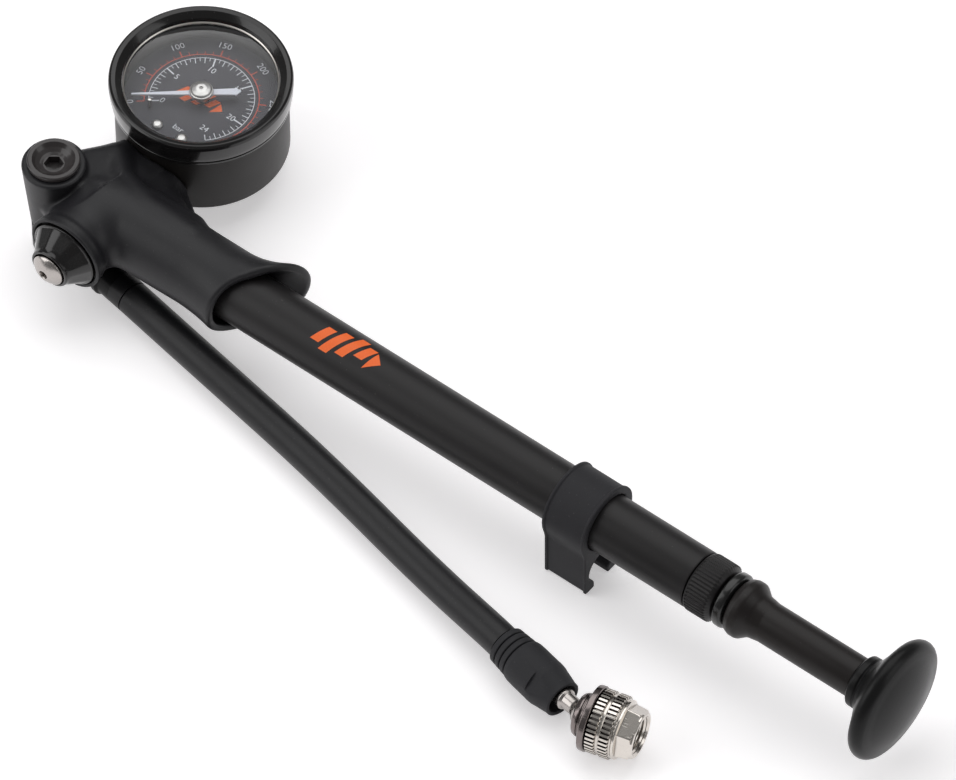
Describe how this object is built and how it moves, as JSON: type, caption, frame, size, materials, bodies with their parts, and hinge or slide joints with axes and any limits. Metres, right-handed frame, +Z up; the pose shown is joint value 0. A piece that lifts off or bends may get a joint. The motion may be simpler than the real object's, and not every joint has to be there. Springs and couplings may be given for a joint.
{
  "type": "shock suspension pump",
  "caption": "Slim high-pressure hand pump: straight barrel, knob handle, round side gauge, bleed button, swivelling hose with screw-on chuck, and a hose clip.",
  "frame": {"origin": "bottom centre of the pump without its hose and chuck, on the surface it lies on", "axes": "+X along the barrel from the head to the handle knob, +Y from the barrel to the gauge, +Z up through the gauge face"},
  "size_m": [0.2498, 0.1034, 0.0336],
  "materials": {
    "cast_plastic": "matte charcoal moulded plastic with a fine grain",
    "anodised_tube": "black anodised aluminium, soft sheen",
    "gauge_paint": "satin black painted steel",
    "gloss_black": "glossy black",
    "satin_black": "satin black plastic",
    "rubber": "matte black rubber",
    "brass": "turned brass",
    "steel": "bright steel",
    "chrome": "bright nickel and chrome plating",
    "dark_nickel": "dark nickel plating",
    "lens_glass": "clear domed lens",
    "dial_card": "dark grey printed dial",
    "pointer_white": "matte white pointer"
  },
  "bodies": {
    "pump_body": {"head_casting": "cast_plastic", "barrel_tube": "anodised_tube", "check_valve_seat": "brass", "check_ball": "steel", "check_spring": "steel", "barrel_end_cap": "anodised_tube", "rod_guide_bush": "brass", "rod_wiper": "rubber", "bleed_valve_housing": "gloss_black", "bleed_valve_seal": "rubber", "bleed_spring": "steel", "pivot_bolt": "gloss_black", "pivot_nut": "steel", "swivel_seal": "rubber", "gauge_case": "gauge_paint", "gauge_bezel": "gloss_black", "gauge_lens": "lens_glass", "lens_gasket": "rubber", "dial_plate": "dial_card", "dial_screw_1": "steel", "dial_screw_2": "steel", "pointer_stop_pin": "steel", "gauge_stem": "brass", "bourdon_tube": "brass", "movement_plate": "brass"},
    "piston": {"piston_head": "brass", "piston_seal": "rubber"},
    "handle": {"piston_rod": "steel", "bumper_ring": "rubber", "handle_stem": "satin_black", "handle_knob": "satin_black"},
    "pointer": {"pointer_spindle": "steel", "pointer_needle": "pointer_white", "pointer_hub": "chrome"},
    "sector": {"sector_gear": "brass"},
    "button": {"bleed_button": "chrome", "bleed_pin": "brass"},
    "clip": {"hose_clip": "rubber"},
    "hose": {"hose_swivel": "satin_black", "hose_collar": "gloss_black", "hose_tube": "rubber", "hose_boot": "rubber", "hose_end_ferrule": "dark_nickel"},
    "chuck": {"chuck_collar": "dark_nickel", "chuck_body": "dark_nickel", "chuck_gasket": "rubber", "chuck_pin": "brass"},
    "chuck_nut": {"chuck_nut": "chrome"}
  },
  "joints": [
    {"name": "handle_slide", "type": "slide", "parent": "pump_body", "child": "piston", "axis": [1, 0, 0], "range_m": [0, 0.135]},
    {"name": "handle_turn", "type": "hinge", "parent": "piston", "child": "handle", "pos_m": [-0.01535, -0.017, 0.0186], "axis": [1, 0, 0], "continuous": true},
    {"name": "pointer_sweep", "type": "hinge", "parent": "pump_body", "child": "pointer", "pos_m": [-0.10375, 0.0191, 0.02], "axis": [0, 0, 1], "range_deg": [-268, 5]},
    {"name": "sector_turn", "type": "hinge", "parent": "pump_body", "child": "sector", "pos_m": [-0.10375, 0.0281, 0.0145], "axis": [0, 0, 1], "range_deg": [-2, 57]},
    {"name": "bleed_press", "type": "slide", "parent": "pump_body", "child": "button", "axis": [0, 1, 0], "range_m": [0, 0.0014], "stiffness_N_per_m": 200, "springref_m": -0.002, "deforming": ["bleed_spring"]},
    {"name": "clip_turn", "type": "hinge", "parent": "pump_body", "child": "clip", "pos_m": [0.03465, -0.017, 0.0186], "axis": [1, 0, 0], "continuous": true},
    {"name": "hose_swing", "type": "hinge", "parent": "pump_body", "child": "hose", "pos_m": [-0.11535, -0.0196, 0.0044], "axis": [0, 0, 1], "range_deg": [-180, 7]},
    {"name": "chuck_tilt", "type": "hinge", "parent": "hose", "child": "chuck", "pos_m": [0.06505, -0.05585, 0.0081], "axis": [0, 0, 1], "range_deg": [-55, 5]},
    {"name": "nut_spin", "type": "hinge", "parent": "chuck", "child": "chuck_nut", "pos_m": [0.06505, -0.05585, 0.0081], "axis": [0.974, 0.2267, 0], "continuous": true}
  ],
  "couplings": [
    {"joint": "sector_turn", "follows": "pointer_sweep", "ratio": -0.2083}
  ]
}
